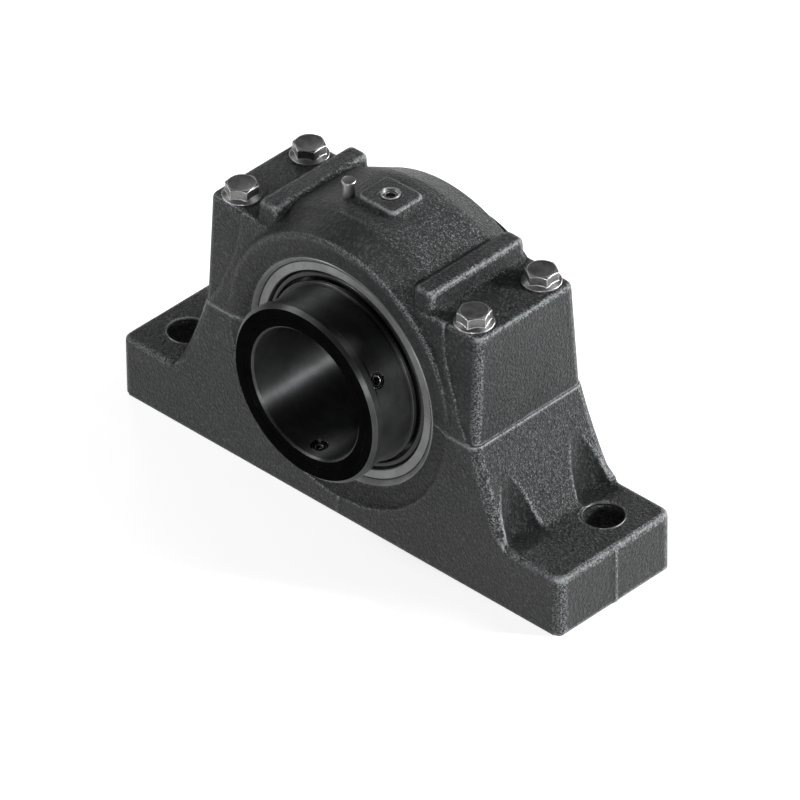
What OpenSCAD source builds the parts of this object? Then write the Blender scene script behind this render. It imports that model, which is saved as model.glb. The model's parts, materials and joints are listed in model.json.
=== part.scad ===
// Split spherical roller pillow block with two set-screw collars.
// The shaft runs along Y, the base length along X, and the base underside lies at z = 0.
// The origin is on the underside, straight below the middle of the bearing.

/* [Bearing] */
// Shaft bore of the inner ring
bore_d = 100; // [90:1:110]
// Bearing section, from the bore to the outside of the outer ring
bearing_section = 40; // [38:0.5:42]
// Width of the outer ring
outer_ring_w = 46; // [44:1:50]
// Thickness of the outer ring at its middle
outer_wall = 9; // [8.8:0.1:9.4]
// Largest diameter of a barrel roller
roller_d = 20.6; // [20:0.1:21]
// Length of a barrel roller
roller_l = 16.6; // [15:0.1:17]
// Contact angle of the rollers, in degrees
contact_deg = 9.5; // [9.2:0.1:10]
// Rollers in each row
roller_count = 19; // [16:1:19]
// Wall of the two inner ring extensions
extension_wall = 7; // [6:0.1:8]
// Wall of the inner ring under the seals
seal_land_wall = 12; // [11:0.1:12.5]
// Thickness of the guide ring between the rows
guide_w = 2.6; // [1.5:0.1:3]
// Radial height of the guide ring
guide_h = 7; // [5:0.1:7.5]

/* [Collars] */
// Distance between the outer faces of the two collars
collar_span = 174; // [170:1:186]
// Axial length of a collar
collar_w = 37; // [34:1:37]
// Wall of a collar behind its flange
collar_wall = 8.5; // [7.5:0.1:9]
// How far the collar flange stands out
flange_step = 2.1; // [1:0.1:2.4]
// Width of the collar flange
flange_w = 8; // [5:0.5:9]
// Chamfer on the collar flange
flange_chamfer = 2.6; // [0.5:0.1:3]
// How far the inner ring ends behind the collar faces
ring_inset = 1; // [0.5:0.1:3]
// Diameter of a set screw
set_screw_d = 12; // [8:1:12]
// Distance from the collar face to the set screw axis
set_screw_inset = 14; // [13:0.5:16]
// Hexagon socket of a set screw, across flats
set_screw_af = 6; // [4:0.5:6]

/* [Seals] */
// Width of the seal groove in the housing
seal_w = 12; // [8:1:13]
// Depth of the seal groove behind the opening
seal_groove_depth = 8.8; // [6:0.1:9]
// Wall of the seal nose in the opening
nose_wall = 6.1; // [4:0.1:8]
// Gap between the flinger and the seal nose
nose_gap = 1.5; // [1.3:0.1:2]
// How far the rotating flinger stands out of the collar
flinger_step = 2.5; // [1:0.1:2.6]
// Thickness of the flinger
flinger_w = 2.5; // [1.5:0.1:2.6]

/* [Base casting] */
// Width of the base, along the shaft
base_w = 112.4; // [110:0.4:118]
// Height of the bearing centre above the underside
centre_h = 117; // [112:1:130]
// Height of the feet
foot_h = 48; // [38:1:56]
// Corner radius of the feet seen from above
foot_corner_r = 8; // [4:1:12]
// How much each side of the base leans in between the feet and the split
base_draft = 1.9; // [0.5:0.1:4]
// How far the split of the base stands out of the cap, all round
split_ledge = 1; // [0.5:0.1:2]
// How far each hollow flank runs out between the split and the foot
flank_run = 28.5; // [20:0.5:36]
// Radius of the hollow flanks
flank_r = 400; // [150:10:600]
// Distance from the foot of a flank to its mounting hole
mount_gap = 21; // [18:0.5:26]
// Distance from a mounting hole to the end of the base
end_margin = 30.5; // [26:0.5:40]
// Distance between the two mounting holes across the base
mount_offset = 40; // [10:1:50]
// Diameter of the mounting holes
mount_hole_d = 29; // [20:0.5:32]
// Distance between the two scoops of one flank
scoop_pitch = 69; // [62:1:72]
// Radius of a scoop
scoop_r = 16.4; // [12:0.1:17]
// Distance from the foot of a flank to the middle of a scoop
scoop_gap = 3.4; // [1:0.1:6]
// Lean of a scoop, in degrees
scoop_lean = 8; // [4:0.5:12]

/* [Cap casting] */
// Height of the bolt pads above the split
pad_rise = 86; // [80:1:90]
// How much each end of the cap leans in up to the bolt pads
end_draft = 1; // [0.5:0.1:4]
// How much each side of the cap leans in up to the bolt pads
side_draft = 6; // [3:0.5:8]
// How far each side of the cap stands behind the side of the base
cap_inset = 3.2; // [2.5:0.1:4]
// Corner radius of the cap seen from above
cap_corner_r = 6; // [4:0.5:10]
// Height of the shelves above the bolt pads
shelf_rise = 15.5; // [10:0.5:20]
// Length of a shelf along the base
shelf_w = 17; // [14:1:24]
// Distance from a bolt flange to its shelf
shelf_gap = 13.7; // [6:0.1:16]
// How far the ends of a shelf stand behind the sides of the pads
shelf_inset = 1; // [0.5:0.5:4]
// Wall between the face recess and the rim
rim_wall = 20.6; // [18:0.1:24]
// How far the crown stands over the rim
crown_step = 11; // [6:0.5:14]
// Width of the slopes from the crown to the rims
slope_w = 26; // [18:1:34]
// How far each rim stands behind the side of the base
rim_inset = 2; // [1.5:0.1:3]
// Thickness of the raised faces beside the rims
face_step = 1.6; // [1:0.1:2.4]

/* [Machined face] */
// Depth of the machined ring behind the rim
ring_depth = 6.6; // [4:0.1:7]
// Width of the machined ring
ring_land = 7.2; // [5:0.1:9]
// Width of the cone outside the machined ring
recess_cone = 3.6; // [2:0.1:5]
// Depth of the outer edge of that cone behind the rim
recess_depth = 3.7; // [2:0.1:3.9]
// Width of the flat edge of the rim
rim_flat = 5; // [3:0.5:10]

/* [Fasteners] */
// Diameter of a cap bolt
bolt_d = 14; // [10:1:14]
// Length of a cap bolt under its head
bolt_l = 125; // [100:1:128]
// Hexagon of a cap bolt, across flats
bolt_af = 21; // [18:0.5:22]
// Diameter of the bolt flange
bolt_flange_d = 28; // [25:0.5:30]
// Height of the bolt head with its flange
bolt_head_h = 10.4; // [9:0.1:14]
// Distance from the outer ring seat to a bolt axis
bolt_gap = 19.7; // [18:0.1:24]
// Distance from a bolt axis to the end of the cap
bolt_margin = 18.8; // [16:0.1:24]
// Distance from a bolt axis to the side of its pad
bolt_edge = 14; // [13:0.5:17]
// Diameter of the two dowel pins at the split
dowel_d = 8; // [5:0.5:10]
// Length of a dowel pin
dowel_l = 20; // [12:1:30]

/* [Lubrication] */
// Length of the lubrication pad along the base
lube_pad_l = 36; // [26:1:40]
// Width of the lubrication pad
lube_pad_w = 32; // [22:1:36]
// Height of the lubrication pad above the crown
lube_pad_rise = 4; // [2:0.5:8]
// Corner radius of the lubrication pad
lube_pad_r = 6; // [3:0.5:9]
// Diameter of the pipe plug
plug_d = 14; // [10:0.5:16]
// Length of the pipe plug
plug_l = 12; // [8:0.5:14]
// Diameter of the anti-rotation pin
pin_d = 6; // [4:0.5:8]
// Diameter of the pin head
pin_head_d = 10.5; // [9:0.5:12]
// Thickness of the pin head
pin_head_t = 2.4; // [1.5:0.1:3]
// Height of the pin head above the crown
pin_rise = 10.5; // [6:0.5:14]
// Distance of the pin from the middle along the base
pin_x = 26.3; // [24:0.1:32]
// Distance of the pin from the middle towards the front
pin_y = 13.5; // [8:0.5:14]

/* [Hidden] */
$fn = 96;
hull_fn = 32;
arc_fn = 360;

// Colours
iron = [0.20, 0.205, 0.21];
black_oxide = [0.07, 0.07, 0.075];
bright_steel = [0.62, 0.63, 0.65];
bolt_steel = [0.38, 0.38, 0.38];
brass = [0.71, 0.58, 0.30];

// Small clearances and edge breaks
eps = 0.01;
fit = 0.02;
slide = 0.05;
run = 0.25;
edge = 3;
soft_edge = 2.2;
small_edge = 0.8;
bore_chamfer = 1.2;
over = 20;
shoulder_step = 10;

// Bearing
bore_r = bore_d / 2;
ring_r = bore_r + bearing_section;
ring_hw = outer_ring_w / 2;
raceway_r = ring_r - outer_wall;
roller_r = roller_d / 2;
roller_dist = raceway_r - run - roller_r;
roller_cr = roller_dist * cos(contact_deg);
roller_cy = roller_dist * sin(contact_deg);
barrel_arc_r = raceway_r - 2;
inner_contact_r = roller_dist - roller_r - run;
inner_race_arc_r = raceway_r;
land_r = inner_contact_r + 0.4;
race_end_y = roller_cy + roller_l / 2 * cos(contact_deg) - 0.6;
rib_r = land_r + 0.8;
rib_end_y = race_end_y + 7;
extension_r = bore_r + extension_wall;
seal_land_r = bore_r + seal_land_wall;
guide_in_r = land_r + 0.3;
guide_r = guide_in_r + guide_h;
groove_depth = 1.5;
groove_w = 6;
lube_hole_r = 2.5;

// Cages: the outer disc stands past the roller ends and the hoop between the rows
end_rise = roller_r * sin(contact_deg);
roller_end_y = roller_cy + roller_l / 2 * cos(contact_deg) + end_rise;
disc_y = roller_end_y + 0.4;
disc_w = 1.5;
disc_in_r = seal_land_r + 2;
disc_out_r = raceway_r - 4.5;
hoop_y = 0.7;
hoop_w = 2.1;
hoop_in_r = roller_cr + 3;
hoop_out_r = roller_cr + 8;
bar_w = 4.2;
bar_t = 2.4;
bar_lift = 5.6;
bar_l = disc_y - hoop_y - hoop_w + 3;

// Collars and the turning parts of the seals
collar_face_y = collar_span / 2;
collar_in_y = collar_face_y - collar_w;
collar_r = extension_r + collar_wall;
flange_r = collar_r + flange_step;
ridge_y = collar_face_y - flange_w;
ridge_groove = 0.7;
inner_hl = collar_face_y - ring_inset;
set_screw_y = collar_face_y - set_screw_inset;
set_screw_r = set_screw_d / 2;
screw_angles = [30, -90];
shaft_hole_r = set_screw_r + 0.5;
screw_tip_r = bore_r + 1.2;
screw_head_r = collar_r - 1.2;
socket_depth = 6;
flinger_r = collar_r + flinger_step;
flinger_y = collar_in_y - 0.1 - flinger_w;
land_end_y = collar_in_y - 0.4;

// Housing bore and its machined faces
base_hw = base_w / 2;
face_y = base_hw - rim_inset;
seat_hw = ring_hw + 0.2;
shoulder_r = ring_r - shoulder_step;
shoulder_w = 5.8;
seal_in_y = seat_hw + shoulder_w;
seal_out_y = seal_in_y + seal_w;
nose_r = flinger_r + nose_gap;
opening_r = nose_r + nose_wall;
seal_groove_r = opening_r + seal_groove_depth;
ring_face_y = face_y - ring_depth;
ring_face_r = opening_r + ring_land;
recess_r = ring_face_r + recess_cone;
recess_y = face_y - recess_depth;
rim_r = recess_r + rim_wall;
crown_r = rim_r + crown_step;
dish_r = rim_r - rim_flat;
nose_end_y = ring_face_y - 0.5;
web_in_r = seal_land_r + 1.2;
web_y = seal_in_y + 3.5;
web_w = 3;

// Castings
bolt_x = ring_r + bolt_gap;
cap_hl = bolt_x + bolt_margin;
split_hl = cap_hl + split_ledge;
flank_foot_hl = split_hl + flank_run;
mount_x = flank_foot_hl + mount_gap;
base_hl = mount_x + end_margin;
mount_y = mount_offset / 2;
mount_r = mount_hole_d / 2;
cap_hw = base_hw - cap_inset;
pad_hw = cap_hw - side_draft;
pad_hl = cap_hl - end_draft;
bolt_y = pad_hw - bolt_edge;
pad_z = centre_h + pad_rise;
shelf_z = pad_z + shelf_rise;
shelf_x = bolt_x - bolt_flange_d / 2 - shelf_gap - shelf_w / 2;
crown_z = centre_h + crown_r;
lube_pad_z = crown_z + lube_pad_rise;
bolt_hole_r = bolt_d / 2 + 0.6;
thread_r = bolt_d / 2 + slide;
bolt_turn = 31;
right_front_turn = 52;
pin_foot_z = centre_h + raceway_r;
pin_top_z = crown_z + pin_rise;

// Centre of the circle through the two ends of a flank, on its open side
flank_dz = centre_h - foot_h;
flank_chord = sqrt(flank_run * flank_run + flank_dz * flank_dz);
flank_sag = sqrt(flank_r * flank_r - flank_chord * flank_chord / 4);
flank_cx = (split_hl + flank_foot_hl) / 2 + flank_sag * flank_dz / flank_chord;
flank_cz = (centre_h + foot_h) / 2 + flank_sag * flank_run / flank_chord;

// Radius of the raised mould joint lines
seam_r = 1;

// Outline of the raised face, as shares of the half length and of the height up to the pads
flare = [[0.962, 0], [0.905, 0.14], [0.85, 0.35], [0.795, 0.56], [0.76, 0.76], [0.735, 1.1]];

// Closes an outline of radii and places along the shaft with its own mirror image
function both_ways(half) = concat(half, [for (i = [len(half) - 1:-1:0]) [half[i][0], -half[i][1]]]);

// Turns a solid made round Z so that it lies round the shaft axis
module on_shaft() {
    translate([0, 0, centre_h]) rotate([90, 0, 0]) children();
}

// Mirrors what stands at the front to the rear
module at_rear() {
    mirror([0, 1, 0]) children();
}

// Slab with round corners and a soft top edge
module soft_slab(hx, hy, z0, z1, r, e) {
    hull() for (sx = [-1, 1], sy = [-1, 1]) translate([sx * (hx - r), sy * (hy - r), z0]) {
        cylinder(h = z1 - z0 - e, r = r, $fn = hull_fn);
        cylinder(h = z1 - z0 - 0.3 * e, r = r - 0.3 * e, $fn = hull_fn);
        cylinder(h = z1 - z0, r = r - e, $fn = hull_fn);
    }
}

// Drafted block with round corners and a soft top edge
module soft_block(hx0, hy0, hx1, hy1, z0, z1, r, e) {
    hull() for (sx = [-1, 1], sy = [-1, 1]) {
        translate([sx * (hx0 - r), sy * (hy0 - r), z0]) cylinder(h = eps, r = r, $fn = hull_fn);
        translate([sx * (hx1 - r), sy * (hy1 - r), 0]) {
            translate([0, 0, z1 - e]) cylinder(h = 0.7 * e, r = r - 0.3 * e, $fn = hull_fn);
            translate([0, 0, z1 - e - eps]) cylinder(h = eps, r = r, $fn = hull_fn);
            translate([0, 0, z1 - eps]) cylinder(h = eps, r = r - e, $fn = hull_fn);
        }
    }
}

// Bored inside of the housing: ring seat, shoulders, seal grooves, openings and face recesses
module housing_bore() {
    on_shaft() rotate_extrude() polygon(both_ways([
        [ring_r + fit, seat_hw], [shoulder_r, seat_hw], [shoulder_r, seal_in_y], [seal_groove_r, seal_in_y],
        [seal_groove_r, seal_out_y], [opening_r, seal_out_y], [opening_r, ring_face_y - small_edge],
        [opening_r + small_edge, ring_face_y], [ring_face_r, ring_face_y], [recess_r, recess_y],
        [dish_r, face_y], [dish_r, base_w], [0, base_w]]));
}

// Outline of the base body above the feet, seen along the shaft
module flank_outline() {
    difference() {
        polygon([[-flank_foot_hl, foot_h - edge - 2], [flank_foot_hl, foot_h - edge - 2],
                 [flank_foot_hl, foot_h], [split_hl, centre_h], [-split_hl, centre_h],
                 [-flank_foot_hl, foot_h]]);
        for (s = [-1, 1]) translate([s * flank_cx, flank_cz]) circle(r = flank_r, $fn = 2 * arc_fn);
    }
}

// Side view of the base along its length, with sides that lean in above the feet
module base_side() {
    top_hw = base_hw - base_draft;
    polygon([[-base_hw, 0], [base_hw, 0], [base_hw, foot_h], [top_hw, centre_h], [-top_hw, centre_h],
             [-base_hw, foot_h]]);
}

// Flank scoop that clears a wrench over a foot
module scoop(s) {
    translate([flank_foot_hl + scoop_gap, s * scoop_pitch / 2, foot_h]) rotate([0, -scoop_lean, 0])
        translate([0, 0, -1]) cylinder(h = flank_dz, r = scoop_r);
}

module base() {
    color(iron) difference() {
        union() {
            soft_slab(base_hl, base_hw, 0, foot_h, foot_corner_r, edge);
            intersection() {
                translate([0, base_hw, 0]) rotate([90, 0, 0]) linear_extrude(base_w) flank_outline();
                translate([-base_hl, 0, 0]) rotate([90, 0, 90]) linear_extrude(2 * base_hl) base_side();
            }
            for (s = [-1, 1]) seam_rib(s);
            front_seam();
        }
        housing_bore();
        for (s = [-1, 1], t = [-1, 1]) mirror([s < 0 ? 1 : 0, 0, 0]) scoop(t);
        for (s = [-1, 1]) translate([s * mount_x, s * mount_y, 0]) {
            translate([0, 0, -1]) cylinder(h = foot_h + 2, r = mount_r);
            translate([0, 0, foot_h - 1]) cylinder(h = 2, r1 = mount_r, r2 = mount_r + 2);
        }
        for (s = [-1, 1], t = [-1, 1]) translate([s * bolt_x, t * bolt_y, pad_z - bolt_l - 4])
            cylinder(h = bolt_l, r = thread_r);
        for (s = [-1, 1]) translate([s * bolt_x, 0, centre_h - dowel_l / 2 - 1])
            cylinder(h = dowel_l, r = dowel_d / 2 + fit);
    }
}

// Raised line of the mould joint on the end of a foot
module seam_rib(s) {
    translate([s * base_hl, 0, 2]) cylinder(h = foot_h - 2 - edge, r = seam_r, $fn = 24);
}

// Short raised bar of the mould joint below the opening, front and rear
module front_seam() {
    seam_h = centre_h - recess_r - 5;
    for (s = [-1, 1]) translate([0, s * base_hw, 1]) {
        cylinder(h = seam_h, r = seam_r, $fn = 24);
        translate([0, 0, seam_h]) sphere(r = seam_r, $fn = 24);
    }
}

// Profile of the crowned barrel, with a slope from the crown down to each rim
module barrel_profile() {
    crown_hw = face_y - slope_w;
    drop = crown_step * edge / slope_w;
    polygon(both_ways([
        [crown_r, crown_hw - edge], [crown_r - drop, crown_hw + edge], [rim_r, face_y - edge],
        [rim_r - small_edge, face_y - small_edge], [rim_r - edge, face_y], [0, face_y]]));
}

// Raised face beside the rim, seen along the shaft: it flares out to the ends of the cap at the split
module flare_outline() {
    polygon(concat(
        [for (p = flare) [p[0] * cap_hl, p[1] * pad_rise]],
        [for (i = [len(flare) - 1:-1:0]) [-flare[i][0] * cap_hl, flare[i][1] * pad_rise]]));
}

module cap() {
    color(iron) difference() {
        union() {
            soft_block(cap_hl, cap_hw, pad_hl, pad_hw, centre_h, pad_z, cap_corner_r, soft_edge);
            intersection() {
                soft_block(cap_hl, cap_hw + face_step, pad_hl, pad_hw + face_step, centre_h, pad_z,
                           cap_corner_r, soft_edge);
                on_shaft() translate([0, 0, -base_hw]) linear_extrude(base_w) flare_outline();
            }
            for (s = [-1, 1]) translate([s * shelf_x, 0, 0])
                soft_block(shelf_w / 2 + 1.5, pad_hw - shelf_inset + 1, shelf_w / 2, pad_hw - shelf_inset,
                           pad_z - over, shelf_z, cap_corner_r - 2, soft_edge);
            intersection() {
                on_shaft() rotate_extrude() barrel_profile();
                translate([-base_hl, -base_w, centre_h]) cube([2 * base_hl, 2 * base_w, 2 * crown_r]);
            }
            lube_pad();
        }
        housing_bore();
        for (s = [-1, 1], t = [-1, 1]) translate([s * bolt_x, t * bolt_y, centre_h - 1])
            cylinder(h = pad_rise + 2, r = bolt_hole_r);
        for (s = [-1, 1]) translate([s * bolt_x, 0, centre_h - 1])
            cylinder(h = dowel_l / 2 + 2, r = dowel_d / 2 + fit);
        translate([0, 0, lube_pad_z - plug_l]) cylinder(h = plug_l + 1, r = plug_d / 2 + slide);
        translate([0, 0, centre_h + ring_r - 5]) cylinder(h = crown_r, r = lube_hole_r);
        translate([-pin_x, -pin_y, centre_h]) cylinder(h = 2 * crown_r, r = pin_d / 2 + fit);
    }
}

// Raised pad that carries the pipe plug
module lube_pad() {
    soft_slab(lube_pad_l / 2, lube_pad_w / 2, crown_z - 8, lube_pad_z, lube_pad_r, 1.4);
}

// Cap bolt with a flanged hexagon head: turn is how far the hexagon has been turned
module cap_bolt(x, y, turn) {
    flange_h = bolt_head_h * 0.24;
    color(bolt_steel) translate([x, y, pad_z]) {
        translate([0, 0, -bolt_l]) cylinder(h = bolt_l, r = bolt_d / 2);
        cylinder(h = 1.1, r = bolt_flange_d / 2);
        translate([0, 0, 1.1]) cylinder(h = flange_h, r1 = bolt_flange_d / 2, r2 = bolt_af / 2);
        intersection() {
            rotate([0, 0, turn]) cylinder(h = bolt_head_h, r = bolt_af / 2 / cos(30), $fn = 6);
            cylinder(h = bolt_head_h, r1 = bolt_flange_d / 2 + 3, r2 = bolt_af / 2 - 0.2);
        }
    }
}

module dowel(s) {
    color(bright_steel) translate([s * bolt_x, 0, centre_h - dowel_l / 2])
        cylinder(h = dowel_l, r = dowel_d / 2);
}

// Pipe plug with a hexagon socket
module lube_plug() {
    socket_r = plug_d * 0.28;
    color(bolt_steel) difference() {
        translate([0, 0, lube_pad_z - plug_l + 1]) cylinder(h = plug_l, r = plug_d / 2);
        translate([0, 0, lube_pad_z - 4]) cylinder(h = 6, r = socket_r, $fn = 6);
        translate([0, 0, lube_pad_z + 0.2]) cylinder(h = 2, r1 = socket_r, r2 = socket_r + 2);
    }
}

module anti_rotation_pin() {
    color(bright_steel) translate([-pin_x, -pin_y, 0]) {
        translate([0, 0, pin_foot_z]) cylinder(h = pin_top_z - pin_foot_z, r = pin_d / 2);
        translate([0, 0, pin_top_z - pin_head_t]) cylinder(h = pin_head_t, r = pin_head_d / 2);
    }
}

module outer_ring() {
    color(bright_steel) difference() {
        on_shaft() rotate_extrude() difference() {
            translate([raceway_r - shoulder_step, -ring_hw]) square([outer_wall + shoulder_step, outer_ring_w]);
            circle(r = raceway_r, $fn = arc_fn);
            translate([ring_r - groove_depth, -groove_w / 2]) square([groove_depth + 1, groove_w]);
        }
        for (a = [0, 120, 240]) translate([0, 0, centre_h]) rotate([0, a, 0])
            translate([0, 0, raceway_r - 5]) cylinder(h = outer_wall + 10, r = lube_hole_r);
        translate([-pin_x, -pin_y, pin_foot_z - 1]) cylinder(h = outer_wall + 10, r = pin_d / 2 + slide);
    }
}

// Half section of the inner ring: seal lands, ribs, raceways and extensions
module inner_ring_section() {
    difference() {
        polygon(both_ways([
            [land_r, race_end_y], [rib_r, race_end_y], [rib_r, rib_end_y], [seal_land_r, rib_end_y],
            [seal_land_r, land_end_y], [extension_r, land_end_y], [extension_r, inner_hl],
            [bore_r + bore_chamfer, inner_hl], [bore_r, inner_hl - bore_chamfer]]));
        for (s = [-1, 1]) intersection() {
            translate([(inner_contact_r + inner_race_arc_r) * cos(contact_deg),
                       s * (inner_contact_r + inner_race_arc_r) * sin(contact_deg)])
                circle(r = inner_race_arc_r, $fn = arc_fn);
            translate([0, s > 0 ? 0 : -race_end_y]) square([2 * ring_r, race_end_y]);
        }
    }
}

// Radial hole or screw place on a collar: y is the place along the shaft
module at_screw(angle, y) {
    translate([0, y, centre_h]) rotate([0, 90 - angle, 0]) children();
}

module inner_ring() {
    color(black_oxide) difference() {
        on_shaft() rotate_extrude() inner_ring_section();
        for (a = screw_angles, s = [-1, 1]) at_screw(a, s * set_screw_y) translate([0, 0, bore_r - set_screw_r])
            cylinder(h = extension_wall + set_screw_d, r = shaft_hole_r);
    }
}

module guide_ring() {
    color(bright_steel) on_shaft() rotate_extrude() translate([guide_in_r, -guide_w / 2])
        square([guide_h, guide_w]);
}

// One barrel roller round its own axis, along Z
module roller() {
    rotate_extrude() intersection() {
        translate([roller_r - barrel_arc_r, 0]) circle(r = barrel_arc_r, $fn = arc_fn);
        translate([0, -roller_l / 2]) square([roller_r + 1, roller_l]);
    }
}

// One row of rollers: s is -1 at the front and 1 at the rear
module roller_row(s) {
    color(bright_steel) for (i = [0:roller_count - 1])
        translate([0, 0, centre_h]) rotate([0, (i + (s > 0 ? 0.5 : 0)) * 360 / roller_count, 0])
            translate([0, s * roller_cy, roller_cr]) rotate([90 - s * contact_deg, 0, 0]) roller();
}

module cage(s) {
    color(brass) {
        on_shaft() rotate_extrude() {
            translate([disc_in_r, s < 0 ? disc_y : -disc_y - disc_w])
                square([disc_out_r - disc_in_r, disc_w]);
            translate([hoop_in_r, s < 0 ? hoop_y : -hoop_y - hoop_w])
                square([hoop_out_r - hoop_in_r, hoop_w]);
        }
        for (i = [0:roller_count - 1])
            translate([0, 0, centre_h]) rotate([0, (i + (s > 0 ? 1 : 0.5)) * 360 / roller_count, 0])
                translate([0, s * roller_cy, roller_cr]) rotate([-s * contact_deg, 0, 0])
                    translate([-bar_w / 2, -bar_l / 2, bar_lift - bar_t / 2]) cube([bar_w, bar_l, bar_t]);
    }
}

// Stationary seal ring: a rim in the housing groove, a web and a nose that fills the opening
module seal() {
    on_shaft() rotate_extrude() polygon([
        [web_in_r, web_y], [shoulder_r - 4, web_y], [shoulder_r - 2, seal_in_y + fit],
        [seal_groove_r - fit, seal_in_y + fit], [seal_groove_r - fit, seal_out_y - fit],
        [opening_r - 0.4, seal_out_y - fit], [opening_r - 0.4, nose_end_y - 3],
        [opening_r - 1.6, nose_end_y], [nose_r + 0.7, nose_end_y], [nose_r, nose_end_y - 0.7],
        [nose_r, web_y + web_w], [web_in_r, web_y + web_w]]);
}

module flinger() {
    on_shaft() rotate_extrude() translate([seal_land_r + fit, flinger_y])
        square([flinger_r - seal_land_r - fit, flinger_w]);
}

// Collar with its flange at the outer end and two set screw holes
module collar() {
    color(black_oxide) difference() {
        on_shaft() rotate_extrude() polygon([
            [extension_r + fit, collar_in_y], [collar_r - small_edge, collar_in_y],
            [collar_r, collar_in_y + small_edge], [collar_r, ridge_y - 0.8],
            [collar_r - ridge_groove, ridge_y - 0.4], [collar_r - ridge_groove, ridge_y],
            [flange_r - 0.6, ridge_y], [flange_r, ridge_y + 0.6], [flange_r, collar_face_y - flange_chamfer],
            [flange_r - flange_chamfer, collar_face_y], [extension_r + 1, collar_face_y],
            [extension_r + fit, collar_face_y - 1]]);
        for (a = screw_angles) at_screw(a, -set_screw_y) translate([0, 0, bore_r + 2])
            cylinder(h = collar_wall + over, r = set_screw_r + fit);
    }
}

// Set screw with a hexagon socket and a cup point
module set_screw(angle) {
    color(black_oxide) at_screw(angle, -set_screw_y) difference() {
        union() {
            translate([0, 0, screw_tip_r + 1])
                cylinder(h = screw_head_r - screw_tip_r - 1 - small_edge, r = set_screw_r);
            translate([0, 0, screw_tip_r]) cylinder(h = 1, r1 = set_screw_r - 1, r2 = set_screw_r);
            translate([0, 0, screw_head_r - small_edge])
                cylinder(h = small_edge, r1 = set_screw_r, r2 = set_screw_r - small_edge);
        }
        translate([0, 0, screw_head_r - socket_depth])
            cylinder(h = socket_depth + 1, r = set_screw_af / 2 / cos(30), $fn = 6);
        translate([0, 0, screw_tip_r - eps]) cylinder(h = 2, r1 = set_screw_r * 0.43, r2 = 0.6);
    }
}

base();
cap();
cap_bolt(-bolt_x, -bolt_y, bolt_turn);  // cap_bolt_left_front
cap_bolt(-bolt_x, bolt_y, bolt_turn);  // cap_bolt_left_rear
cap_bolt(bolt_x, -bolt_y, right_front_turn);  // cap_bolt_right_front
cap_bolt(bolt_x, bolt_y, bolt_turn);  // cap_bolt_right_rear
dowel(-1);  // dowel_left
dowel(1);  // dowel_right
lube_plug();
anti_rotation_pin();
outer_ring();
inner_ring();
guide_ring();
roller_row(-1);  // front_rollers
roller_row(1);  // rear_rollers
cage(-1);  // front_cage
cage(1);  // rear_cage
color(black_oxide) seal();  // front_seal
color(black_oxide) at_rear() seal();  // rear_seal
color(black_oxide) flinger();  // front_flinger
color(black_oxide) at_rear() flinger();  // rear_flinger
collar();  // front_collar
at_rear() collar();  // rear_collar
set_screw(screw_angles[0]);  // front_set_screw_a
set_screw(screw_angles[1]);  // front_set_screw_b
at_rear() set_screw(screw_angles[0]);  // rear_set_screw_a
at_rear() set_screw(screw_angles[1]);  // rear_set_screw_b
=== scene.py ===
import json
import math

import bmesh
import bpy
import numpy as np
from mathutils import Matrix, Vector


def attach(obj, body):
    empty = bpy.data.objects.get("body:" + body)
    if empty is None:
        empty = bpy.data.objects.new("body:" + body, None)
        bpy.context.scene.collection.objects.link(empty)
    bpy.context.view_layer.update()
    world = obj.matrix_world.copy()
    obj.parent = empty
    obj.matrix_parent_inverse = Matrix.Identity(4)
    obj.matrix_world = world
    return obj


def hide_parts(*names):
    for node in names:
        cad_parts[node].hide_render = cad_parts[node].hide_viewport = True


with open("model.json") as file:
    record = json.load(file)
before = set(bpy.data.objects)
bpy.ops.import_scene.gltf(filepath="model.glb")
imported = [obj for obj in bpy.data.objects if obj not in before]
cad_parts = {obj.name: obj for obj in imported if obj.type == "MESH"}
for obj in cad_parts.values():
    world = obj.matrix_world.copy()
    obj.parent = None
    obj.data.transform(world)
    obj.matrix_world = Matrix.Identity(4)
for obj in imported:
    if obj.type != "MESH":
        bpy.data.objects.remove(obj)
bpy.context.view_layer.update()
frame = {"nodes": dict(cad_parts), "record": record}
nodes = frame["nodes"]

MM = 0.001
ENDS = (("front", -1), ("rear", 1))

# Sizes in mm, as in the CAD source
CENTRE_H = 117.0
BASE_HW, BASE_DRAFT, FOOT_H = 56.2, 1.9, 48.0
FLANK_R, FLANK_CX, FLANK_CZ = 400.0, 511.841, 234.538
OPENING_R, RING_R, RECESS_R = 75.6, 82.8, 86.4
RING_Y, RECESS_Y = 47.6, 50.5
SEAL_GROOVE_R, SEAL_IN_Y, SEAL_OUT_Y = 84.4, 29.0, 41.0
WEB_R, WEB_Y, WEB_W, NOSE_R = 63.2, 32.5, 3.0, 69.5
MOUNT_X, MOUNT_Y, MOUNT_R = 179.0, 20.0, 14.5
PAD_Z, BOLT_X, BOLT_Y, BOLT_L = 203.0, 109.7, 33.0, 125.0
BOLT_R, BOLT_AF, BOLT_HEAD_H, FLANGE_R = 7.0, 21.0, 10.4, 14.0
PLUG_Z, PLUG_R = 239.0, 7.0
PIN_X, PIN_Y, PIN_TOP, PIN_FOOT = -26.3, -13.5, 245.5, 198.0

# Sizes in mm that only the looks have, with turns in degrees
BASE_VOXEL, CAP_VOXEL = 1.6, 1.35
# Rounding of the base's upright corners, and the height over which it grows from the feet
CORNER_R, CORNER_FADE = 7.5, 12.0
# Matt zone at both ends of the shaft bore: beyond this place, between these radii
END_ZONE_Y, END_ZONE_IN, END_ZONE_OUT = 80.0, 51.9, 60.0
# How far each bolt's hexagon has been turned
BOLT_TURN, RIGHT_FRONT_TURN = 31.0, 52.0
SOCKET_AF, SOCKET_TURN = 7.0, 10.0
SLEEVE_R, SLEEVE_Z = 4.4, 231.2
PIN_HEAD_R, PIN_HEAD_H = 5.1, 2.0


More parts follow.
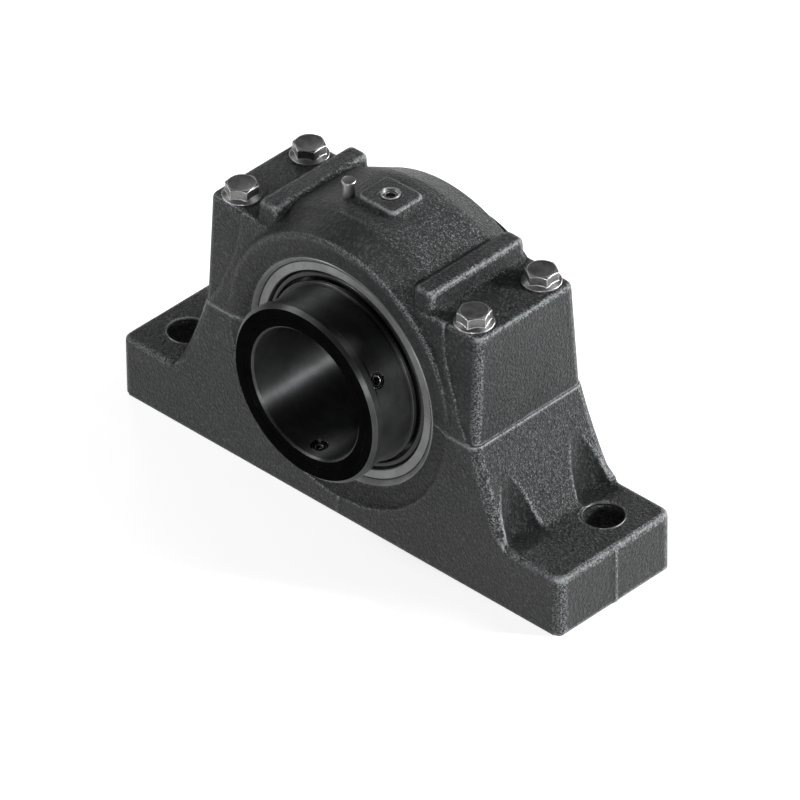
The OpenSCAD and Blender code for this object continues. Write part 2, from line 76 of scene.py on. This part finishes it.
# Materials
class Nodes:
    """Short calls for one material's node tree."""

    def __init__(self, name):
        self.mat = bpy.data.materials.new(name)
        self.mat.use_nodes = True
        self.tree = self.mat.node_tree
        self.bsdf = self.tree.nodes["Principled BSDF"]
        self.coord = self.add("ShaderNodeTexCoord").outputs["Object"]

    def add(self, kind, **settings):
        node = self.tree.nodes.new(kind)
        for key, value in settings.items():
            setattr(node, key, value)
        return node

    def link(self, a, b):
        self.tree.links.new(a, b)

    def put(self, socket, value):
        if isinstance(value, bpy.types.NodeSocket):
            self.link(value, socket)
        else:
            socket.default_value = value

    def noise(self, scale, detail, rough, stretch=None):
        node = self.add("ShaderNodeTexNoise")
        node.inputs["Scale"].default_value = scale
        node.inputs["Detail"].default_value = detail
        node.inputs["Roughness"].default_value = rough
        vector = self.coord
        if stretch:
            mapping = self.add("ShaderNodeMapping")
            mapping.inputs["Scale"].default_value = stretch
            self.link(self.coord, mapping.inputs["Vector"])
            vector = mapping.outputs["Vector"]
        self.link(vector, node.inputs["Vector"])
        return node.outputs["Fac"]

    def ramp(self, value, lo, hi, a=0.0, b=1.0):
        """Goes from a at lo to b at hi, and stays there beyond them."""
        node = self.add("ShaderNodeMapRange", clamp=True)
        self.put(node.inputs["Value"], value)
        ends = (("From Min", lo), ("From Max", hi), ("To Min", a), ("To Max", b))
        for name, number in ends:
            node.inputs[name].default_value = number
        return node.outputs["Result"]

    def math(self, operation, a, b):
        node = self.add("ShaderNodeMath", operation=operation)
        self.put(node.inputs[0], a)
        self.put(node.inputs[1], b)
        return node.outputs[0]

    def mix(self, factor, a, b):
        node = self.add("ShaderNodeMix", data_type="RGBA")
        self.put(node.inputs["Factor"], factor)
        self.put(node.inputs["A"], a)
        self.put(node.inputs["B"], b)
        return node.outputs["Result"]

    def bump(self, height, distance, strength, normal=None):
        node = self.add("ShaderNodeBump")
        node.inputs["Distance"].default_value = distance
        node.inputs["Strength"].default_value = strength
        self.put(node.inputs["Height"], height)
        if normal is not None:
            self.link(normal, node.inputs["Normal"])
        return node.outputs["Normal"]

    def edge_normal(self, radius):
        """Normal that rounds sharp edges over a radius in m."""
        node = self.add("ShaderNodeBevel", samples=4)
        node.inputs["Radius"].default_value = radius
        return node.outputs["Normal"]

    def face_normal(self):
        return self.add("ShaderNodeNewGeometry").outputs["Normal"]

    def dot(self, a, b):
        node = self.add("ShaderNodeVectorMath", operation="DOT_PRODUCT")
        self.put(node.inputs[0], a)
        self.put(node.inputs[1], b)
        return node.outputs["Value"]

    def vector(self, operation, a, b=(0, 0, 0)):
        node = self.add("ShaderNodeVectorMath", operation=operation)
        self.put(node.inputs[0], a)
        self.put(node.inputs[1], b)
        return node.outputs["Vector"]

    def edge_mask(self, bevelled, lo, hi):
        """How far the rounded normal leaves the flat one: 1 on an edge, 0 on a face."""
        return self.ramp(self.dot(bevelled, self.face_normal()), hi, lo)

    def facing(self, way):
        """How squarely the skin faces a fixed way."""
        return self.dot(self.face_normal(), way)

    def across_grooves(self):
        """Sets the tangent square to lathe grooves, which run round the shaft."""
        from_axis = self.vector("SUBTRACT", self.coord, (0, 0, CENTRE_H * MM))
        round_shaft = self.vector("CROSS_PRODUCT", from_axis, (0, 1, 0))
        moved = self.add("ShaderNodeVectorTransform", vector_type="VECTOR",
                         convert_from="OBJECT", convert_to="WORLD")
        self.link(round_shaft, moved.inputs[0])
        across = self.vector("CROSS_PRODUCT", moved.outputs[0], self.face_normal())
        self.link(self.vector("NORMALIZE", across), self.bsdf.inputs["Tangent"])

    def set(self, **values):
        names = {"base": "Base Color", "rough": "Roughness", "metal": "Metallic",
                 "normal": "Normal", "spec": "Specular IOR Level", "aniso": "Anisotropic"}
        for key, value in values.items():
            self.put(self.bsdf.inputs[names[key]], value)
        return self.mat


def grey(v, tint=(1.0, 1.0, 1.0)):
    """Colour of one lightness, with a slight tint."""
    return (v * tint[0], v * tint[1], v * tint[2], 1.0)


def cast_paint():
    """Black paint on sand-cast iron: grainy, bare to the metal on its edges, with painted
    highlights on the edges and slopes that face right and up, and painted shade in its corners.
    """
    n = Nodes("cast_housing")
    cool, warm = (0.95, 1.0, 1.02), (1.03, 1.0, 0.96)
    right_side, upper_right = (0.80, -0.20, 0.56), (0.62, 0.10, 0.78)
    sand = n.noise(430.0, 2.0, 0.55)
    fine = n.noise(900.0, 2.0, 0.6)
    broad = n.noise(38.0, 4.0, 0.6)
    patch = n.noise(9.0, 2.0, 0.5)
    point = n.add("ShaderNodeAttribute", attribute_name="edge").outputs["Fac"]

    # Paint, with painted glints on the tops of its sand grain and darker in its pits
    tone = n.mix(n.ramp(broad, 0.35, 0.68), grey(0.024, cool), grey(0.035, cool))
    tone = n.mix(n.ramp(patch, 0.40, 0.62, 0.0, 0.35), tone, grey(0.031, warm))
    tone = n.mix(n.ramp(sand, 0.55, 0.72, 0.0, 0.8), tone, grey(0.10, cool))
    tone = n.mix(n.ramp(sand, 0.45, 0.30, 0.0, 0.8), tone, grey(0.013, cool))

    # Bare metal and bright specks on the edges, with a painted highlight that makes those facing
    # right the brightest
    worn_and_highlight = n.math("MULTIPLY", n.ramp(point, 0.06, 0.13), n.ramp(sand, 0.28, 0.50))
    specks = n.math("MULTIPLY", n.ramp(point, 0.015, 0.042), n.ramp(fine, 0.48, 0.61, 0.0, 0.95))
    highlight_side = n.ramp(n.facing(right_side), 0.10, 0.75, 0.15, 1.0)
    worn_and_highlight = n.math("MULTIPLY", worn_and_highlight, highlight_side)
    specks = n.math("MULTIPLY", specks, highlight_side)

    # Painted glints on the grain of the slopes that face up and right
    glint_slopes = n.ramp(n.facing(upper_right), 0.68, 0.96)
    painted_glints = n.math("MULTIPLY", glint_slopes, n.ramp(fine, 0.55, 0.67, 0.0, 0.9))
    tone = n.mix(n.math("MAXIMUM", specks, painted_glints), tone, grey(0.31, cool))
    tone = n.mix(worn_and_highlight, tone, grey(0.38, cool))

    # Painted shade in the corners
    tone = n.mix(n.ramp(point, -0.04, -0.14, 0.0, 0.7), tone, grey(0.014))

    blend = n.math("ADD", n.math("MULTIPLY", broad, 0.6), n.math("MULTIPLY", fine, 0.4))
    grain = n.math("ADD", sand, n.math("MULTIPLY", fine, 0.8))
    return n.set(base=tone, rough=n.ramp(blend, 0.3, 0.7, 0.26, 0.36),
                 normal=n.bump(grain, 0.0026, 1.0), spec=0.18)


def machined_iron():
    """Faced cast iron, bare, with a highlight that runs across its lathe grooves."""
    n = Nodes("machined_face")
    lathe = n.noise(260.0, 3.0, 0.6)
    fine = n.noise(1900.0, 2.0, 0.6)
    broad = n.noise(55.0, 3.0, 0.6)
    tone = n.mix(n.ramp(broad, 0.35, 0.65), grey(0.20), grey(0.28, (0.98, 1.0, 1.0)))
    tone = n.mix(n.ramp(lathe, 0.60, 0.72, 0.0, 0.6), tone, grey(0.15, (0.9, 1.0, 1.02)))
    n.across_grooves()
    return n.set(base=tone, rough=0.5, metal=0.6, aniso=0.7, normal=n.bump(fine, 0.0001, 0.5))


def turned_black(name, tone, rough):
    """Black oxide on a turned or ground cylinder, bare on its edges, which also carry a painted
    highlight.
    """
    n = Nodes(name)
    broad = n.noise(60.0, 3.0, 0.6)
    turned = n.noise(30.0, 4.0, 0.7, stretch=(1.0, 60.0, 1.0))
    dark, light = grey(tone * 0.8), grey(tone * 1.2, (0.97, 1.0, 1.02))
    base = n.mix(n.ramp(broad, 0.35, 0.65), dark, light)
    n.across_grooves()
    edge = n.edge_normal(0.0005)
    # Bare steel on the edges, which also stands in as a painted highlight
    base = n.mix(n.edge_mask(edge, 0.88, 0.99), base, grey(0.22))
    return n.set(base=base, rough=n.ramp(turned, 0.35, 0.65, rough - 0.03, rough + 0.03),
                 metal=1.0, aniso=0.92, normal=n.bump(turned, 0.00008, 0.4, edge))


def matte_black():
    """Black oxide on a faced end, which shows next to no light."""
    n = Nodes("black_oxide_face")
    broad = n.noise(60.0, 3.0, 0.6)
    fine = n.noise(1400.0, 2.0, 0.6)
    edge = n.edge_normal(0.0006)
    tone = n.mix(n.ramp(broad, 0.35, 0.65), grey(0.0024), grey(0.0038))
    return n.set(base=tone, rough=n.ramp(broad, 0.3, 0.7, 0.42, 0.55), spec=0.0,
                 normal=n.bump(fine, 0.00006, 0.3, edge))


def bolt_steel(name, dark, light, worn_and_highlight):
    """Blotchy steel with fine light specks, and bare edges that also carry a painted highlight."""
    n = Nodes(name)
    broad = n.noise(160.0, 3.0, 0.6)
    fine = n.noise(1800.0, 2.0, 0.6)
    edge = n.edge_normal(0.0009)
    tone = n.mix(n.ramp(broad, 0.35, 0.65), grey(dark), grey(light, (1.0, 1.0, 0.98)))
    tone = n.mix(n.ramp(fine, 0.62, 0.76, 0.0, 0.5), tone, grey(light * 1.5))
    # Bare steel on the edges, lightened further as a painted highlight
    tone = n.mix(n.edge_mask(edge, 0.90, 0.99), tone, grey(worn_and_highlight))
    grain = n.math("ADD", broad, n.math("MULTIPLY", fine, 0.5))
    return n.set(base=tone, rough=n.ramp(broad, 0.3, 0.7, 0.32, 0.44), metal=0.8,
                 normal=n.bump(grain, 0.00012, 0.5, edge))


def bright_steel(name, base, rough):
    """Ground or plated steel."""
    n = Nodes(name)
    broad = n.noise(120.0, 3.0, 0.6)
    fine = n.noise(2400.0, 2.0, 0.6)
    tone = n.mix(n.ramp(broad, 0.35, 0.65), grey(base * 0.85), grey(base))
    return n.set(base=tone, rough=n.ramp(broad, 0.3, 0.7, rough, rough + 0.12), metal=1.0,
                 normal=n.bump(fine, 0.00005, 0.4, n.edge_normal(0.0004)))


def seal_rubber():
    """Smooth black rubber."""
    n = Nodes("seal_rubber")
    broad = n.noise(90.0, 3.0, 0.6)
    fine = n.noise(1500.0, 2.0, 0.6)
    tone = n.mix(n.ramp(broad, 0.35, 0.65), grey(0.008), grey(0.014))
    return n.set(base=tone, rough=n.ramp(broad, 0.3, 0.7, 0.18, 0.26), spec=0.3,
                 normal=n.bump(fine, 0.00004, 0.4, n.edge_normal(0.0006)))


def cage_brass():
    """Machined brass of the cages."""
    n = Nodes("cage_brass")
    dark, light = (0.52, 0.36, 0.13, 1.0), (0.66, 0.48, 0.20, 1.0)
    broad = n.noise(120.0, 3.0, 0.6)
    tone = n.mix(n.ramp(broad, 0.35, 0.65), dark, light)
    return n.set(base=tone, rough=n.ramp(broad, 0.3, 0.7, 0.25, 0.4), metal=1.0)


IRON = cast_paint()
MACHINED = machined_iron()
OXIDE = turned_black("black_oxide_steel", 0.062, 0.45)
BORE = turned_black("ground_bore", 0.060, 0.44)
FACE = matte_black()
BOLT = bolt_steel("dark_bolt_steel", 0.12, 0.20, 0.90)
BORED = bolt_steel("bored_iron", 0.035, 0.07, 0.45)
SCREW = bolt_steel("black_screw_steel", 0.006, 0.012, 0.80)
PIN = bright_steel("bright_pin_steel", 0.42, 0.26)
RACE = bright_steel("bearing_steel", 0.58, 0.16)
SEAL = seal_rubber()
BRASS = cage_brass()

SLOTS = {"cast_housing": IRON, "dark_bolt_steel": BOLT, "bright_pin_steel": PIN,
         "bearing_steel": RACE, "seal_rubber": SEAL, "black_oxide_steel": OXIDE,
         "cage_brass": BRASS}

# Finishes of the CAD pieces that are shown as they are
SLOT_OF = {part["node"]: part["material_slot"] for part in frame["record"]["subparts"]}
for name, slot in SLOT_OF.items():
    mesh = nodes[name].data
    mesh.materials.clear()
    mesh.materials.append(SLOTS[slot])
nodes["inner_ring"].data.materials[0] = BORE
for name in nodes:
    if "set_screw" in name:
        nodes[name].data.materials[0] = SCREW


# Builders
def link_mesh(name, mesh, material, body):
    """Puts a mesh in the scene, on a body and with one finish."""
    obj = bpy.data.objects.new(name, mesh)
    bpy.context.scene.collection.objects.link(obj)
    mesh.materials.clear()
    mesh.materials.append(material)
    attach(obj, body)
    return obj


def spin(name, rings, material, body, about="Y", place=(0.0, 0.0), side=-1,
         span=None, steps=192, closed=False, sharp=28):
    """Turns rings of (radius, height) in mm into a mesh.

    A radius or a height may be a function of the angle in degrees. About "Y" the height
    runs along the shaft, to the front where side is -1; about "Z" it is the height over
    the underside. A closed outline makes a ring; an open one starts and ends in a cap."""
    start, stop = span or (0.0, 360.0)
    whole = span is None
    count = steps if whole else steps + 1
    bm = bmesh.new()
    rows = []
    for i in range(count):
        deg = start + (stop - start) * i / steps
        a = math.radians(deg)
        row = []
        for r, h in rings:
            r = r(deg) if callable(r) else r
            h = h(deg) if callable(h) else h
            if about == "Y":
                co = (r * math.cos(a), side * h, CENTRE_H + r * math.sin(a))
            else:
                co = (place[0] + r * math.cos(a), place[1] + r * math.sin(a), h)
            row.append(bm.verts.new([c * MM for c in co]))
        rows.append(row)
    n = len(rings)
    for i in range(steps):
        a, b = rows[i], rows[(i + 1) % count]
        for j in range(n if closed else n - 1):
            k = (j + 1) % n
            bm.faces.new((a[j], a[k], b[k], b[j]))
    if not whole and closed:
        bm.faces.new(rows[0])
        bm.faces.new(rows[-1])
    if not closed:
        bm.faces.new([row[0] for row in rows])
        bm.faces.new([row[-1] for row in rows])
    bmesh.ops.recalc_face_normals(bm, faces=bm.faces)
    mesh = bpy.data.meshes.new(name)
    bm.to_mesh(mesh)
    bm.free()
    mesh.shade_smooth()
    mesh.set_sharp_from_angle(angle=math.radians(sharp))
    return link_mesh(name, mesh, material, body)


def mark_edges(mesh):
    """Stores how far each vertex stands out from its neighbours.

    The value is above 0 on an edge and below 0 in a corner."""
    spread = 0.25
    count = len(mesh.vertices)
    co = np.empty(count * 3, np.float32)
    mesh.vertices.foreach_get("co", co)
    normal = np.empty(count * 3, np.float32)
    mesh.vertex_normals.foreach_get("vector", normal)
    pairs = np.empty(len(mesh.edges) * 2, np.int32)
    mesh.edges.foreach_get("vertices", pairs)
    co, normal, pairs = co.reshape(-1, 3), normal.reshape(-1, 3), pairs.reshape(-1, 2)
    a, b = pairs[:, 0], pairs[:, 1]

    def gather(at_a, at_b):
        return np.bincount(a, at_a, count) + np.bincount(b, at_b, count)

    way = co[b] - co[a]
    way /= np.linalg.norm(way, axis=1)[:, None] + 1e-9
    met = np.maximum(gather(None, None), 1)
    value = gather(-(way * normal[a]).sum(1), (way * normal[b]).sum(1)) / met
    value = (1 - spread) * value + spread * gather(value[b], value[a]) / met
    stored = mesh.attributes.new("edge", "FLOAT", "POINT").data
    stored.foreach_set("value", value.astype(np.float32))


def cast_skin(node, voxel, shape=None):
    """Casting with its edges and corners softened as a sand mould leaves them."""
    mesh = nodes[node].data.copy()
    obj = link_mesh(node + "_casting", mesh, IRON, "housing")
    remesh = obj.modifiers.new("voxels", "REMESH")
    remesh.mode = "VOXEL"
    remesh.voxel_size = voxel * MM
    remesh.adaptivity = 0.0
    remesh.use_smooth_shade = True
    soften = obj.modifiers.new("soften", "SMOOTH")
    soften.factor = 0.5
    soften.iterations = 2
    graph = bpy.context.evaluated_depsgraph_get()
    baked = bpy.data.meshes.new_from_object(obj.evaluated_get(graph))
    obj.modifiers.clear()
    obj.data = baked
    if shape:
        co = np.empty(len(baked.vertices) * 3, np.float32)
        baked.vertices.foreach_get("co", co)
        points = co.reshape(-1, 3).astype(float) / MM
        baked.vertices.foreach_set("co", (shape(points) * MM).astype(np.float32).ravel())
        baked.update()
    baked.shade_smooth()
    mark_edges(baked)
    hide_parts(node)


def round_flanks(p):
    """Rounds the four upright corners of the base between its feet and the split."""
    z = np.clip(p[:, 2], FOOT_H, CENTRE_H)
    half_x = FLANK_CX - np.sqrt(FLANK_R ** 2 - (z - FLANK_CZ) ** 2)
    half_y = BASE_HW - BASE_DRAFT * (z - FOOT_H) / (CENTRE_H - FOOT_H)
    t = np.clip((p[:, 2] - FOOT_H + 1.0) / CORNER_FADE, 0.0, 1.0)
    radius = CORNER_R * t * t * (3 - 2 * t) + 0.01
    dx = np.abs(p[:, 0]) - (half_x - radius)
    dy = np.abs(p[:, 1]) - (half_y - radius)
    length = np.hypot(dx, dy)
    out = (dx > 0) & (dy > 0) & (length > radius) & (p[:, 2] > FOOT_H)
    keep = np.where(out, radius / np.maximum(length, 1e-6), 1.0)
    q = p.copy()
    q[:, 0] = np.where(out, np.sign(p[:, 0]) * (half_x - radius + dx * keep), p[:, 0])
    q[:, 1] = np.where(out, np.sign(p[:, 1]) * (half_y - radius + dy * keep), p[:, 1])
    return q


def two_tone(node, name, side):
    """Copy of a turned CAD piece with matt end faces, and the slopes beside them matt too.

    The front one is matt where side is -1, the rear one where it is 1, both where it is 0."""
    square = 0.97
    mesh = nodes[node].data.copy()
    obj = link_mesh(name, mesh, nodes[node].data.materials[0], "rotor")
    mesh.materials.append(FACE)
    for face in mesh.polygons:
        centre = face.center / MM
        radius = math.hypot(centre.x, centre.z - CENTRE_H)
        end = (face.normal.y * side if side else abs(face.normal.y)) > square
        if end or abs(centre.y) > END_ZONE_Y and END_ZONE_IN < radius < END_ZONE_OUT:
            face.material_index = 1
    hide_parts(node)


# Housing castings
cast_skin("base", BASE_VOXEL, round_flanks)
cast_skin("cap", CAP_VOXEL)

# Machined rings round both openings, split as the castings are: from inside the opening
# over the flat land and the cone, and back through the iron
LAND = [
    (OPENING_R - 0.1, 40.0), (OPENING_R - 0.1, RING_Y - 0.15), (OPENING_R + 0.4, RING_Y + 0.35),
    (RING_R - 0.9, RING_Y + 0.35), (RING_R - 0.6, RING_Y - 0.2), (RING_R - 0.2, RING_Y - 0.2),
    (RING_R + 0.1, RING_Y + 0.5), (RECESS_R - 0.3, RECESS_Y + 0.25),
    (RECESS_R - 0.1, RECESS_Y + 0.05), (RECESS_R + 0.3, RECESS_Y - 0.6), (84.0, 46.0),
    (78.0, 40.0)]
HALVES = (("cap", (0.12, 179.88)), ("base", (180.12, 359.88)))
for end, side in ENDS:
    for half, span in HALVES:
        spin(end + "_land_" + half, LAND, MACHINED, "housing",
             side=side, span=span, steps=128, closed=True)

# Bored walls of the mounting holes, with the break of their upper edge
WALL = [(MOUNT_R, 0.4), (MOUNT_R, FOOT_H - 0.5), (MOUNT_R + 0.5, FOOT_H + 0.1),
        (MOUNT_R + 1.1, FOOT_H + 0.1), (MOUNT_R + 1.3, FOOT_H - 1.0), (MOUNT_R + 1.3, 0.4)]
for name, s in (("right", 1), ("left", -1)):
    spin(name + "_hole_wall", WALL, BORED, "housing",
         about="Z", place=(s * MOUNT_X, s * MOUNT_Y), steps=96, closed=True)

# Seals: the web, the rim in the housing groove and the round lip that fills the opening
LIP = [
    (WEB_R, WEB_Y), (76.0, WEB_Y), (78.0, SEAL_IN_Y + 0.1),
    (SEAL_GROOVE_R - 0.1, SEAL_IN_Y + 0.1), (SEAL_GROOVE_R - 0.1, SEAL_OUT_Y - 0.1),
    (OPENING_R - 0.35, SEAL_OUT_Y - 0.1), (OPENING_R - 0.35, 43.9), (74.9, 45.1),
    (74.1, 46.1), (73.0, 46.8), (71.9, 47.1), (70.8, 47.0), (70.0, 46.4), (69.6, 45.2),
    (NOSE_R, 43.0), (NOSE_R, WEB_Y + WEB_W), (WEB_R, WEB_Y + WEB_W)]
for end, side in ENDS:
    seal = spin(end + "_seal_ring", LIP, SEAL, "housing", side=side, closed=True)
    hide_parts(end + "_seal")

# Turned pieces on the shaft
for end, side in ENDS:
    two_tone(end + "_collar", end + "_collar_turned", side)
two_tone("inner_ring", "inner_ring_ground", 0)


# Fasteners
def hexagon(flats, turn):
    """Radius of a hexagon against the angle in degrees."""
    return lambda deg: flats / 2 / math.cos(math.radians((deg - turn) % 60.0 - 30.0))


def bolt(node, x, y, turn):
    """Flanged hexagon bolt: the flange's cone and the top's chamfer cut its sides in arcs."""
    side = hexagon(BOLT_AF, turn)
    foot, rim, top = PAD_Z - BOLT_L, PAD_Z + 1.5, PAD_Z + BOLT_HEAD_H
    cone_r, cone_slope = 13.2, 0.75
    chamfer_r, chamfer_slope = 9.9, 0.62

    def cone(deg):
        return rim + (cone_r - side(deg)) * cone_slope

    def bevel(deg):
        return top - max(0.0, side(deg) - chamfer_r) * chamfer_slope

    rings = [
        (BOLT_R - 0.1, foot), (BOLT_R, foot + 0.8), (BOLT_R, PAD_Z + 0.1),
        (FLANGE_R - 0.4, PAD_Z + 0.1), (FLANGE_R, PAD_Z + 0.4), (FLANGE_R, PAD_Z + 1.2),
        (FLANGE_R - 0.5, rim), (side, cone), (side, bevel), (chamfer_r, top),
        (9.3, top - 0.15), (3.0, top - 0.3)]
    obj = spin(node + "_head", rings, BOLT, "housing",
               about="Z", place=(x, y), steps=180, sharp=20)
    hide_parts(node)


bolt("cap_bolt_left_front", -BOLT_X, -BOLT_Y, BOLT_TURN)
bolt("cap_bolt_left_rear", -BOLT_X, BOLT_Y, BOLT_TURN)
bolt("cap_bolt_right_front", BOLT_X, -BOLT_Y, RIGHT_FRONT_TURN)
bolt("cap_bolt_right_rear", BOLT_X, BOLT_Y, BOLT_TURN)

socket = hexagon(SOCKET_AF, SOCKET_TURN)
plug = spin(
    "lube_plug_head",
    [(PLUG_R, PLUG_Z - 10.8), (PLUG_R, PLUG_Z + 0.9), (PLUG_R - 0.3, PLUG_Z + 1.3),
     (6.1, PLUG_Z + 1.3), (5.7, PLUG_Z + 0.8), (5.5, PLUG_Z - 0.4), (4.6, PLUG_Z - 0.6),
     (socket, PLUG_Z - 0.8), (socket, PLUG_Z - 4.0), (0.5, PLUG_Z - 4.6)],
    BOLT, "housing", about="Z", steps=120)
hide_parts("lube_plug")

pin = spin(
    "bearing_pin",
    [(2.9, PIN_FOOT), (2.95, SLEEVE_Z - 0.2), (SLEEVE_R, SLEEVE_Z), (SLEEVE_R, PIN_TOP - 2.6),
     (PIN_HEAD_R - 0.2, PIN_TOP - PIN_HEAD_H - 0.3), (PIN_HEAD_R, PIN_TOP - PIN_HEAD_H),
     (PIN_HEAD_R, PIN_TOP - 0.6), (PIN_HEAD_R - 0.3, PIN_TOP - 0.1),
     (PIN_HEAD_R - 0.7, PIN_TOP), (0.5, PIN_TOP)],
    PIN, "housing", about="Z", place=(PIN_X, PIN_Y), steps=96)
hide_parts("anti_rotation_pin")


# Stage, light and camera
FLOOR_HALF, FLOOR_DROP = 12.0, 0.0004
FLOOR_GREY, FLOOR_GLOW, AMBIENT = 0.75, 0.66, 0.10
LAMP_AIM = (0, 0, 0.12)
WHITE = (1, 1, 1, 1)


def even_world():
    """Weak white light from all round."""
    world = bpy.data.worlds.new("studio")
    bpy.context.scene.world = world
    world.use_nodes = True
    tree = world.node_tree
    tree.nodes.clear()
    out = tree.nodes.new("ShaderNodeOutputWorld")
    ambient = tree.nodes.new("ShaderNodeBackground")
    ambient.inputs["Color"].default_value = WHITE
    ambient.inputs["Strength"].default_value = AMBIENT
    tree.links.new(ambient.outputs[0], out.inputs["Surface"])


def pale_floor():
    """Matt floor that also glows for camera, glossy and transmission rays, and looks white."""
    mesh = bpy.data.meshes.new("floor")
    corners = [(-1, -1), (1, -1), (1, 1), (-1, 1)]
    mesh.from_pydata([(x * FLOOR_HALF, y * FLOOR_HALF, 0) for x, y in corners],
                     [], [(0, 1, 2, 3)])
    floor = bpy.data.objects.new("floor", mesh)
    floor.location.z = -FLOOR_DROP
    bpy.context.scene.collection.objects.link(floor)
    pale = bpy.data.materials.new("pale_floor")
    pale.use_nodes = True
    tree = pale.node_tree
    tree.nodes.clear()
    out = tree.nodes.new("ShaderNodeOutputMaterial")
    path = tree.nodes.new("ShaderNodeLightPath")
    matte = tree.nodes.new("ShaderNodeBsdfDiffuse")
    matte.inputs["Color"].default_value = grey(FLOOR_GREY)
    glow = tree.nodes.new("ShaderNodeEmission")
    glow.inputs["Color"].default_value = WHITE
    glow.inputs["Strength"].default_value = FLOOR_GLOW
    nothing = tree.nodes.new("ShaderNodeEmission")
    nothing.inputs["Strength"].default_value = 0.0
    seen = path.outputs["Is Camera Ray"]
    for ray in ("Is Glossy Ray", "Is Transmission Ray"):
        either = tree.nodes.new("ShaderNodeMath")
        either.operation = "MAXIMUM"
        tree.links.new(seen, either.inputs[0])
        tree.links.new(path.outputs[ray], either.inputs[1])
        seen = either.outputs[0]
    choose = tree.nodes.new("ShaderNodeMixShader")
    tree.links.new(seen, choose.inputs["Fac"])
    tree.links.new(nothing.outputs[0], choose.inputs[1])
    tree.links.new(glow.outputs[0], choose.inputs[2])
    total = tree.nodes.new("ShaderNodeAddShader")
    tree.links.new(matte.outputs[0], total.inputs[0])
    tree.links.new(choose.outputs[0], total.inputs[1])
    tree.links.new(total.outputs[0], out.inputs["Surface"])
    mesh.materials.append(pale)


def softbox(name, toward, distance, size, power):
    """Area lamp that stands in one direction from the block's middle: lengths in m, power in W."""
    light = bpy.data.lights.new(name, "AREA")
    light.shape = "RECTANGLE"
    light.size, light.size_y = size
    light.energy = power
    obj = bpy.data.objects.new(name, light)
    obj.location = Vector(LAMP_AIM) + Vector(toward).normalized() * distance
    obj.rotation_mode = "QUATERNION"
    obj.rotation_quaternion = (-Vector(toward)).to_track_quat("-Z", "Y")
    bpy.context.scene.collection.objects.link(obj)


even_world()
pale_floor()
softbox("key", (-0.72, -0.42, 0.55), 2.2, (0.7, 0.7), 17)
softbox("right_front", (0.61, -0.78, 0.10), 2.5, (0.30, 0.5), 27)
softbox("left_front", (-0.50, -0.85, 0.14), 2.5, (0.30, 0.5), 8)
softbox("right_back", (0.77, 0.54, 0.33), 2.5, (0.32, 0.5), 68)
softbox("left_back", (-0.80, 0.56, 0.22), 2.5, (0.4, 0.5), 6)
softbox("through_bore", (0.40, 0.91, 0.035), 2.5, (0.30, 0.2), 30)
softbox("top_back", (0.38, 0.50, 0.78), 2.2, (0.9, 0.9), 10)

# Camera as fitted to the photograph's edges: angles in degrees, lengths in mm or pixels
AZIMUTH, ELEVATION, ROLL = 44.381, 36.034, -0.786
AIM_Z, DISTANCE, SHIFT_X, SHIFT_Y = 93.75, 8000.0, -4.849, 21.984
FOCAL_PX, PHOTO_PX, SENSOR = 11672.0, 800.0, 36.0


def photo_camera():
    """Camera at the place and angle that the photograph was taken from."""
    azimuth, elevation, roll = (math.radians(a) for a in (AZIMUTH, ELEVATION, ROLL))
    toward = Vector((math.sin(azimuth) * math.cos(elevation),
                     -math.cos(azimuth) * math.cos(elevation), math.sin(elevation)))
    right = Vector((math.cos(azimuth), math.sin(azimuth), 0))
    up = toward.cross(right)
    right, up = (right * math.cos(roll) + up * math.sin(roll),
                 up * math.cos(roll) - right * math.sin(roll))
    place = (Vector((0, 0, AIM_Z)) + toward * DISTANCE - right * SHIFT_X - up * SHIFT_Y) * MM
    data = bpy.data.cameras.new("photo_camera")
    data.sensor_width = SENSOR
    data.lens = SENSOR * FOCAL_PX / PHOTO_PX
    data.clip_start, data.clip_end = 1.0, 60.0
    obj = bpy.data.objects.new("photo_camera", data)
    turn = Matrix((right, up, toward)).transposed().to_4x4()
    obj.matrix_world = Matrix.Translation(place) @ turn
    bpy.context.scene.collection.objects.link(obj)
    bpy.context.scene.camera = obj


photo_camera()
bpy.context.scene.view_settings.view_transform = "Standard"
